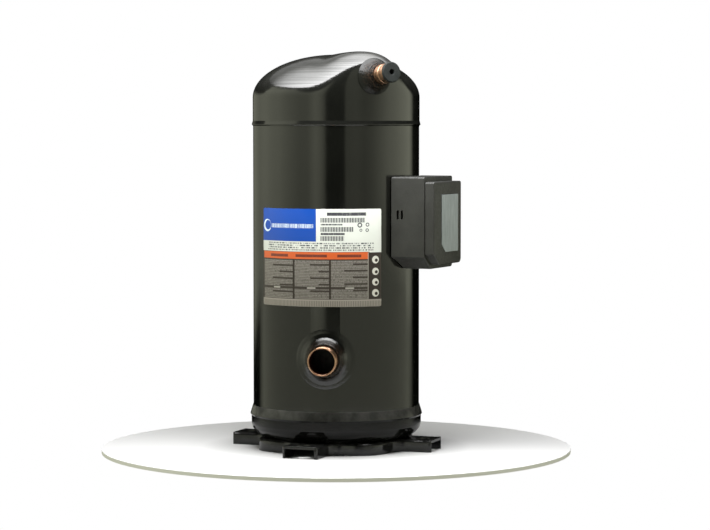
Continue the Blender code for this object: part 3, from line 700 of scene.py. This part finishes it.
EAR_REACH = 148.0
EAR_HALF = 25.5
EAR_ROOT = 114.0
ROOT_R = 20.0
STEEL = 4.0
FLANGE_BEND = 4.4       # outer radius of the bend between the plate's top and its flange


def on_ear(along, across):
    """A point on the ear at +45 degrees, measured along it and across it towards +X."""
    diagonal = math.sqrt(0.5)
    return (diagonal * (along + across), diagonal * (along - across))


def plate_side(inset, end):
    """One side of the plate's outline, facing +X and moved inwards, from one ear's end to the next one's.

    Each point is (x, y, radius of the bend over its edge). `end` finishes the ear at +45 degrees."""
    fillet = arc(on_ear(EAR_ROOT, EAR_HALF + ROOT_R), ROOT_R + inset, 225, 135, 14)
    start_x, start_y = fillet[0]
    bow = [(start_x + start_y * (1 - t * t) / 2, start_y * t) for t in [k / 7 for k in range(1, 7)]]
    bend = FLANGE_BEND - inset
    upper = [(x, y, bend) for x, y in bow + fillet] + end
    return [(x, -y, r) for x, y, r in upper[::-1]] + [(start_x + start_y / 2, 0.0, bend)] + upper


def quarters(side):
    """Four copies of one side's points, a quarter turn apart."""
    outline = []
    for turn in range(4):
        c = (1, 0, -1, 0)[turn]
        s = (0, 1, 0, -1)[turn]
        outline += [(x * c - y * s, x * s + y * c, bend) for x, y, bend in side]
    return outline


def inward(outline):
    """Each point of a closed outline with its bend and its unit direction inwards."""
    out = []
    count = len(outline)
    for i, (x, y, bend) in enumerate(outline):
        x0, y0, _ = outline[i - 1]
        x1, y1, _ = outline[(i + 1) % count]
        length = math.hypot(x1 - x0, y1 - y0)
        out.append((x, y, bend, -(y1 - y0) / length, (x1 - x0) / length))
    return out


def bent_slab(outline, low, high):
    """A solid whose upper edge is rounded by each point's own bend."""
    points = inward(outline)
    rings = [[(x, y, low) for x, y, bend, nx, ny in points]]
    for step in range(7):
        angle = math.radians(90 * step / 6)
        rise = math.sin(angle)
        shift = 1 - math.cos(angle)
        rings.append([(x + nx * bend * shift, y + ny * bend * shift, high - bend * (1 - rise))
                      for x, y, bend, nx, ny in points])
    return capped(rings, upright)


def make_base_plate(paint):
    tip = [(*on_ear(EAR_REACH - 12, EAR_HALF), FLANGE_BEND)]
    for step, (x, y) in enumerate(arc(on_ear(EAR_REACH - 4, EAR_HALF - 4), 4, -45, 45, 8)):
        tip.append((x, y, max(FLANGE_BEND - 0.9 * step, 0.7)))
    body = bent_slab(quarters(plate_side(0.0, tip)), FOOT, PLATE_TOP)
    plate = keep("base", body, paint, ["base_plate"], sharp=40)
    past_tip = [(*on_ear(EAR_REACH + 20, EAR_HALF - STEEL), 0.6)]
    within = quarters(plate_side(STEEL, past_tip))
    tools = [tool(bent_slab(within, FOOT - 6, PLATE_TOP - STEEL), paint)]
    hole = [(0, -8, 0), (9.5, -8, 0), (9.5, PLATE_TOP - 0.5, 0), (10.2, PLATE_TOP + 1, 0),
            (10.2, PLATE_TOP + 5, 0), (0, PLATE_TOP + 5, 0)]
    for x in (MOUNT_HALF, -MOUNT_HALF):
        for y in (MOUNT_HALF, -MOUNT_HALF):
            tools.append(tool(lathe(hole, shifted(x, y), 40), paint))
    cut(plate, *tools)


# ---------------------------------------------------------------- connections

def collar(wall, place, profile, sides=72):
    """A collar whose foot follows the wall, from a profile of (radius, height above the wall, bend).

    The wall's own shape fades out of the rings up to the collar's `still` height."""
    outward = (place(0, 0, 1) - place(0, 0, 0)).normalized()
    outside = 250

    def wall_at(x, y):
        return outside - wall.ray_cast(place(x, y, outside), -outward)[3] / MM

    middle = wall_at(0, 0)
    rings = []
    for radius, above in rounded(profile["outline"], 4):
        share = min(max(1.0 - above / profile["still"], 0.0), 1.0)
        follow = share * share * (3 - 2 * share)
        rings.append([(x, y, middle + above + follow * (wall_at(x, y) - middle))
                      for x, y, _ in ring(radius, 0.0, sides)])
    return skin(rings, place)


def make_suction(wall, finishes):
    place = radial(SUCTION_AZ, SUCTION_Z)
    profile = {"still": 11.0, "outline": [
        (20.0, 0.3, 0), (41.0, 0.2, 0.1), (41.2, 0.3, 0.1), (35.5, 0.9, 5), (30.2, 2.6, 5), (26.6, 5.6, 3),
        (24.6, 11.0, 5), (23.6, 16.6, 1.5), (22.6, 17.8, 0.6), (20.0, 18.0, 0.2)]}
    burnt = brazed_paint("suction_braze", place, 23.0, 30.0, 0.2, 0.5)
    shape = collar(wall, place, profile)
    keep("suction_collar", shape, burnt, ["suction_fitting"], sharp=60)
    lip = SUCTION_END
    outer = [(17.5, 109, 0.3), (19.6, 109, 0.3), (19.6, lip - 16.0, 0), (19.6, lip - 12.0, 0.5),
             (18.7, lip - 11.4, 0.4), (18.7, lip - 9.6, 0.4), (19.6, lip - 9.0, 0.6), (19.6, lip - 5.6, 0.6),
             (19.0, lip - 4.8, 0.5), (19.0, lip - 3.4, 0.5), (19.65, lip - 2.8, 0.4),
             (19.65, lip - 0.5, 0.5), (19.1, lip, 0.5), (17.9, lip, 0.5), (17.5, lip - 0.7, 0.4)]
    stub = keep("suction_tube", lathe(outer, place, 96), finishes["copper"], ["suction_stub"],
                sharp=50)
    paint_inside(stub, place, 17.55, finishes["inside"], lip - 0.75)


def paint_inside(stub, place, bore, finish, lip):
    """Gives the faces of a stub's bore their own finish."""
    stub.data.materials.append(finish)
    centre = place(0, 0, 0)
    outward = (place(0, 0, 1) - centre).normalized()
    for face in stub.data.polygons:
        along = (face.center - centre).dot(outward)
        off = (face.center - centre - outward * along).length
        if off < bore * MM and along < lip * MM:
            face.material_index = 1


def make_discharge(wall, finishes):
    place = aimed(DISCHARGE_FROM, DISCHARGE_OUT)
    profile = {"still": 8.2, "outline": [
        (13.6, 0.6, 0), (24.9, 0.6, 0.2), (25.2, 1.2, 0.4), (22.6, 3.2, 3), (20.2, 5.4, 2), (19.0, 8.2, 1.2),
        (18.4, 10.9, 0.8), (17.2, 12.0, 0.8), (15.5, 12.3, 0.7), (14.9, 14.0, 1), (14.7, 17.0, 0.5),
        (13.6, 17.0, 0.2)]}
    burnt = brazed_paint("discharge_braze", place, 16.5, 23.0, 0.1, 0.25, 1.6)
    shape = collar(wall, place, profile)
    keep("discharge_collar", shape, burnt, ["discharge_fitting"], sharp=60)
    end = DISCHARGE_END
    tube = [(11.15, 110, 0.3), (13.25, 110, 0.3), (13.25, end - 11.5, 0.5), (12.8, end - 10.9, 0.4),
            (12.8, end - 9.9, 0.4), (13.3, end - 9.3, 0.5), (13.3, end - 0.4, 0.4), (12.9, end, 0.3),
            (11.5, end, 0.3), (11.15, end - 0.4, 0.3)]
    stub = keep("discharge_tube", lathe(tube, place, 80), finishes["copper"], ["discharge_stub"],
                sharp=50)
    paint_inside(stub, place, 11.2, finishes["inside"], end - 0.45)
    brim = end + 0.3
    face = PLUG_FACE
    plug = [(0, 138, 0), (10.3, 138, 0.8), (10.85, 140, 0.8), (10.85, 144, 0.4), (10.4, 144.5, 0.3),
            (10.4, 146, 0.3), (10.85, 146.5, 0.4), (10.85, brim, 0.3), (14.1, brim, 0.7),
            (14.1, face - 1.2, 1.0), (13.1, face, 0.8), (4.2, face, 0.5), (3.5, face - 0.8, 0.4),
            (3.2, 149, 0.6), (0, 149, 0)]
    keep("rubber_plug", lathe(plug, place, 72), finishes["rubber"], ["discharge_plug"], "shipping_plug",
         50)


# ---------------------------------------------------------------- terminal box

def box_outline(half, low, high, chamfer, inset=0.0, corner=3.0, far_corner=6.0):
    """The box's outline from outside, its lower near corner cut off, drawn in by `inset`."""
    wide, tall = chamfer
    half -= inset
    low += inset
    high -= inset
    wide -= inset * 0.35
    tall -= inset * 0.35
    corner = max(corner - inset, 0.4)
    return rounded([(-half + wide, low, 1.2), (half, low, max(far_corner - inset, 0.4)), (half, high, corner),
                    (-half, high, corner), (-half, low + tall, 1.2)], 5)


def loft(sections, place=BOX_PLACE):
    """Closed outlines at depths, (outline, depth), skinned and capped."""
    return capped([[(x, y, depth) for x, y in outline] for outline, depth in sections], place)


def edge_round(radius, steps=4):
    """(inset, depth short of the face) pairs that round an outline's edge over."""
    angles = [math.radians(90 * k / steps) for k in range(steps + 1)]
    return [(radius * (1 - math.cos(a)), radius * (1 - math.sin(a))) for a in angles]


def make_box_base(plastic):
    def outline(inset):
        return box_outline(BOX_HALF, BOX_LOW, BOX_HIGH, (25, 17), inset, 3.0, 4.0)

    sections = [(outline(0.0), 98)]
    sections += [(outline(inset), BOX_FRONT - short) for inset, short in edge_round(1.1)]
    base = keep("box_base", loft(sections), plastic, ["terminal_box_base"], sharp=35)
    hollow = box_outline(49.5, 263, 371, (22, 12), corner=2.0, far_corner=3.0)
    room = tool(loft([(hollow, 98), (hollow, 165)]), plastic)
    cut(room, tool(rod(SHELL_R + 5.5, 240, 400), plastic))
    shapes = [rod(SHELL_R + 1.8, 240, 400), rod(27, 95, 140, radial(BOX_AZ, HEADER_Z), 48)]
    latch = [(-56, 322.5), (-48, 322.5), (-48, 335.0), (-56, 335.0)]
    shapes += [loft([(latch, depth), (latch, depth + 3.4)]) for depth in (113.4, 119.6)]
    cut(base, room, *[tool(shape, plastic) for shape in shapes])


def make_box_cover(plastic):
    def outline(inset):
        return box_outline(LID_HALF, LID_LOW, LID_HIGH, (23, 15), inset, 3.0, 7.0)

    sections = [(outline(0.6), BOX_FRONT + 0.3), (outline(0.0), BOX_FRONT + 0.9)]
    sections += [(outline(inset), LID_FRONT - short) for inset, short in edge_round(1.8)]
    cover = keep("box_lid", loft(sections), plastic, ["terminal_box_cover"], "box_cover", 35)
    skirt = box_outline(49.1, 263.4, 370.6, (21.8, 11.8), corner=1.6, far_corner=2.6)
    skirt_tool = tool(loft([(skirt, 146), (skirt, BOX_FRONT + 2)]), plastic)
    inside = box_outline(46.8, 265.8, 368.2, (20.8, 10.8), corner=1.0, far_corner=1.6)
    cut(cover, tool(loft([(inside, 140), (inside, LID_FRONT - 2.6)]), plastic), joined=[skirt_tool])


def make_badge(foil):
    low, high = (c.z for c in extent("terminal_box_badge"))

    def outline(inset):
        return rounded([(-10 + inset * 0.4, low + inset, 1.0), (37 - inset, low + inset, 1.2),
                        (37 - inset, high - inset, 1.2), (-24 + inset, high - inset, 1.2),
                        (-24 + inset, low + 11 + inset * 0.4, 1.0)], 4)

    front = LID_FRONT
    sections = [(outline(0), front + 0.3), (outline(0), front + 0.65), (outline(0.25), front + 0.9)]
    keep("badge", loft(sections), foil, ["terminal_box_badge"], "box_cover", 35)


def make_nameplate(foil):
    columns = 90
    rim = 2.2
    width = math.radians(LABEL_AZ[1] - LABEL_AZ[0]) * SHELL_R
    rings = []
    for i in range(columns + 1):
        u = width / 2 * (1 - math.cos(math.pi * i / columns))
        near = min(u, width - u)
        trim = rim - math.sqrt(max(rim * rim - (rim - near) ** 2, 0.0)) if near < rim else 0.0
        azimuth = math.radians(LABEL_AZ[0]) + u / SHELL_R
        low = LABEL_LOW + trim
        high = LABEL_HIGH - trim
        section = ((0.3, low), (0.72, low), (0.8, low + 0.2), (0.8, high - 0.2), (0.72, high), (0.3, high))
        rings.append([((SHELL_R + off) * math.cos(azimuth), (SHELL_R + off) * math.sin(azimuth), z)
                      for off, z in section])
    keep("data_plate", capped(rings, upright), foil, ["nameplate"], sharp=30)


# ---------------------------------------------------------------- what stays as the CAD made it

def dress(material, *nodes):
    """Gives CAD nodes a finish, welds their facets and rounds their shading."""
    for name in nodes:
        node = frame["nodes"][name]
        node.data.materials.clear()
        node.data.materials.append(material)
        node.data.shade_smooth()
        weld = node.modifiers.new("weld", "WELD")
        weld.merge_threshold = 1e-6
        split = node.modifiers.new("split", "EDGE_SPLIT")
        split.split_angle = math.radians(35)


def numbered(name, count):
    return [f"{name}_{n}" for n in range(1, count + 1)]


def dress_inner_pieces():
    cast = metal("cast_iron", (0.10, 0.10, 0.105), (0.22, 0.22, 0.225), 0.6, scale=190.0, metallic=0.8,
                 bump=0.35)
    ground = metal("ground_steel", (0.42, 0.42, 0.43), (0.62, 0.62, 0.63), 0.24, (1, 1, 14), 60.0)
    aluminium = metal("cast_aluminium", (0.50, 0.51, 0.52), (0.70, 0.71, 0.72), 0.42, scale=260.0,
                      bump=0.2)
    bronze = metal("bearing_bronze", (0.36, 0.24, 0.11), (0.56, 0.40, 0.20), 0.36, (1, 1, 8), 80.0)
    brass = metal("brass", (0.58, 0.42, 0.18), (0.78, 0.60, 0.30), 0.26, (8, 8, 1), 90.0)
    header = metal("terminal_steel", (0.28, 0.28, 0.27), (0.50, 0.50, 0.48), 0.34, scale=150.0)
    # Phosphated steel darkened to near black as painted shade for the baffle seen down the suction stub.
    phosphated_shade = metal("phosphated_steel", (0.010, 0.010, 0.012), (0.035, 0.033, 0.036), 0.6, metallic=0.5)
    pins = metal("pin_copper", (0.52, 0.22, 0.12), (0.80, 0.42, 0.27), 0.3, (1, 1, 9), 90.0)
    dress(cast, "main_bearing_housing", "lower_bearing_bracket", "orbiting_scroll", "fixed_scroll",
          "upper_counterweight", "lower_counterweight")
    dress(ground, "crankshaft", "drive_bush", "oil_pickup", "muffler_plate", "floating_seal",
          "valve_retainer", "discharge_valve_disc", *numbered("guide_bolt", 4))
    dress(phosphated_shade, "suction_baffle")
    dress(aluminium, "oldham_ring", "upper_end_ring", "lower_end_ring")
    dress(bronze, "drive_bearing", "main_bearing_bush", "lower_bearing_bush", "thrust_washer")
    dress(brass, "ground_screw", "relief_valve", "oil_gallery_plug")
    dress(header, "hermetic_terminal")
    dress(pins, *numbered("terminal_pin", 3))
    dress(stack(), "stator_core", "rotor_core")
    dress(winding(), "upper_winding", "lower_winding")
    dress(phenolic(), "terminal_block", "overload_protector")
    dress(fibre(), "terminal_box_gasket")


# ---------------------------------------------------------------- studio

CAMERA_AT = (-1.5260, -3.2607, 0.4415)
CAMERA_HEADING = math.radians(-25.5)        # from +Y
CAMERA_PITCH = math.radians(-3.15)
CAMERA_LENS = 129.9
FLOOR_R = 330.0
AHEAD = Vector((-math.sin(CAMERA_HEADING), math.cos(CAMERA_HEADING), 0.0))
RIGHT = Vector((math.cos(CAMERA_HEADING), math.sin(CAMERA_HEADING), 0.0))


def make_camera():
    data = bpy.data.cameras.new("camera")
    data.lens = CAMERA_LENS
    data.sensor_width = 36.0
    data.clip_start = 0.1
    data.clip_end = 50.0
    camera = bpy.data.objects.new("camera", data)
    bpy.context.scene.collection.objects.link(camera)
    camera.location = CAMERA_AT
    camera.rotation_euler = (math.radians(90) + CAMERA_PITCH, 0.0, CAMERA_HEADING)
    bpy.context.scene.camera = camera


def make_floor():
    """A round floor painted grey under the plate as a painted shadow, which turns as white as the background
    towards its rim.
    """
    f = Finish("studio_floor", 0.7, specular=0.2)
    reach = f.vector("LENGTH", f.vector("MULTIPLY", f.place, (1, 1, 0)))
    # Grey near the plate: a painted shadow under the object.
    near = f.mix(f.ramp(f.noise(3.0, 3.0), 0, 1), (0.52, 0.52, 0.52), (0.55, 0.55, 0.545))
    f.colour(f.mix(f.ramp(reach, 0, 1, 0.12, 0.19), near, (0.92, 0.92, 0.92)))
    floor = keep("floor", rod(FLOOR_R, FOOT - 5.0, FOOT, sides=96), f.material, [])


# Walls round the object: (angle from the camera's direction, positive to the viewer's right; brightness;
# elevation of the wall's top). Dark gaps stand between the bright ones.
WALLS = ((-180, 0.0, 5), (-166, 0.0, 5), (-158, 0.35, 5), (-131, 0.6, 7), (-120, 0.9, 10), (-112, 1.1, 30),
         (-85, 1.3, 32), (-64, 0.98, 32), (-51, 0.78, 20), (-39, 0.8, 16), (-28, 1.3, 16), (-20, 1.0, 18),
         (-15, 0.5, 20), (-12.5, 0.02, 20), (11, 0.02, 20), (14, 0.5, 20), (28, 0.55, 20), (40, 0.46, 20),
         (51, 0.6, 20), (64, 0.95, 20), (77, 1.3, 16), (100, 1.45, 10), (121, 1.3, 10), (129, 0.5, 6),
         (133, 0.0, 5), (180, 0.0, 5))
WALL_COLOUR = (0.98, 1.0, 0.78)
FLOOR_EDGE = 0.09       # sine of the angle below the horizon at which the far floor begins to show
FLOOR_LEVEL = 0.66
LAMP_HEIGHT = 730.0     # of the round lamp overhead
LAMP_R = 400.0
LAMP_RADIANCE = 20.0


def make_lamp():
    """A round soft box over the object, which falls off towards its far side."""
    data = bpy.data.lights.new("overhead", "AREA")
    data.shape = "DISK"
    data.size = 2 * LAMP_R * MM
    data.energy = LAMP_RADIANCE * math.pi * math.pi * (LAMP_R * MM) ** 2
    data.use_nodes = True
    lamp = bpy.data.objects.new("overhead", data)
    bpy.context.scene.collection.objects.link(lamp)
    lamp.location = lift((0, 0, LAMP_HEIGHT))
    lamp.visible_camera = False
    n = Nodes(data.node_tree)
    depth = n.vector("DOT_PRODUCT", n.node("ShaderNodeNewGeometry").outputs["Position"], AHEAD)
    fall = n.ramp(depth, 1.0, 0.02, -0.38, 0.17, "SMOOTHSTEP")
    n.give(fall, n.tree.nodes["Emission"].inputs["Strength"])


def round_about(n, turn, pairs):
    """A value that follows the angle round the object, through (degrees, value) pairs from -180 to 180."""
    ramp = n.node("ShaderNodeValToRGB", {"Fac": turn})
    stops = ramp.color_ramp.elements
    for degrees, value in pairs[1:-1]:
        stops.new((degrees + 180) / 360)
    most = max(value for degrees, value in pairs)
    for stop, (degrees, value) in zip(stops, pairs):
        stop.color = (value / most, value / most, value / most, 1)
    return n.math("MULTIPLY", ramp.outputs["Color"], most)


def make_world():
    """A bright studio by direction: white walls with dark gaps between them."""
    world = bpy.data.worlds.new("studio")
    bpy.context.scene.world = world
    world.use_nodes = True
    n = Nodes(world.node_tree)
    direction = n.node("ShaderNodeTexCoord").outputs["Generated"]
    towards = n.vector("DOT_PRODUCT", direction, -AHEAD)
    angle = n.math("ARCTAN2", n.vector("DOT_PRODUCT", direction, RIGHT), towards)
    turn = n.math("ADD", n.math("DIVIDE", angle, 2 * math.pi), 0.5)
    up = n.split(direction)["Z"]
    bright = round_about(n, turn, [(degrees, level) for degrees, level, top in WALLS])
    top = round_about(n, turn, [(degrees, math.sin(math.radians(top))) for degrees, level, top in WALLS])
    below_top = n.math("MULTIPLY", n.math("SUBTRACT", n.math("ADD", top, 0.05), up), 10.0, clamp=True)
    dim_below = n.math("ADD", n.math("MULTIPLY", up, 1.4), 1.0, clamp=True)
    walls = n.math("MULTIPLY", n.math("MULTIPLY", bright, below_top), dim_below)
    in_front = n.math("MULTIPLY", n.math("ADD", towards, 0.7), 5.0, clamp=True)
    floor_share = n.math("MULTIPLY", n.math("ADD", up, FLOOR_EDGE), -40.0, clamp=True)
    wall_part = n.math("MULTIPLY", walls, n.math("SUBTRACT", 1.0, floor_share))
    floor_part = n.math("MULTIPLY", floor_share, n.math("MULTIPLY", in_front, FLOOR_LEVEL))
    side = n.math("ADD", wall_part, floor_part)
    seen = n.node("ShaderNodeLightPath").outputs["Is Camera Ray"]
    unseen = n.math("SUBTRACT", 1.0, seen)
    mixed = n.node("ShaderNodeCombineXYZ")
    for socket, share in zip(mixed.inputs, WALL_COLOUR):
        lit = n.math("MULTIPLY", n.math("MULTIPLY", side, share), unseen)
        n.give(n.math("ADD", lit, seen), socket)
    n.give(mixed.outputs["Vector"], n.tree.nodes["Background"].inputs["Color"])


def main():
    # The bore finish under the key "inside" is oxide darkened further as painted shade.
    finishes = {"paint": gloss_paint("gloss_black_enamel"), "copper": copper(), "inside": shaded_copper_inside(),
                "rubber": rubber()}
    plastic = box_plastic("box_plastic", 0.62)
    cap_wall = make_cap(gloss_paint("drawn_black_enamel", 0.3))
    shell_wall = make_tube(finishes["paint"])
    make_lower_cover(gloss_paint("cover_black_enamel", gloss=0.17, dust=0.36))
    make_base_plate(plate_paint())
    make_suction(shell_wall, finishes)
    make_discharge(cap_wall, finishes)
    make_box_base(plastic)
    make_box_cover(plastic)
    make_badge(badge_foil())
    make_nameplate(label_print())
    dress_inner_pieces()
    make_floor()
    make_world()
    make_lamp()
    make_camera()
    bpy.context.scene.view_settings.view_transform = "Standard"


main()
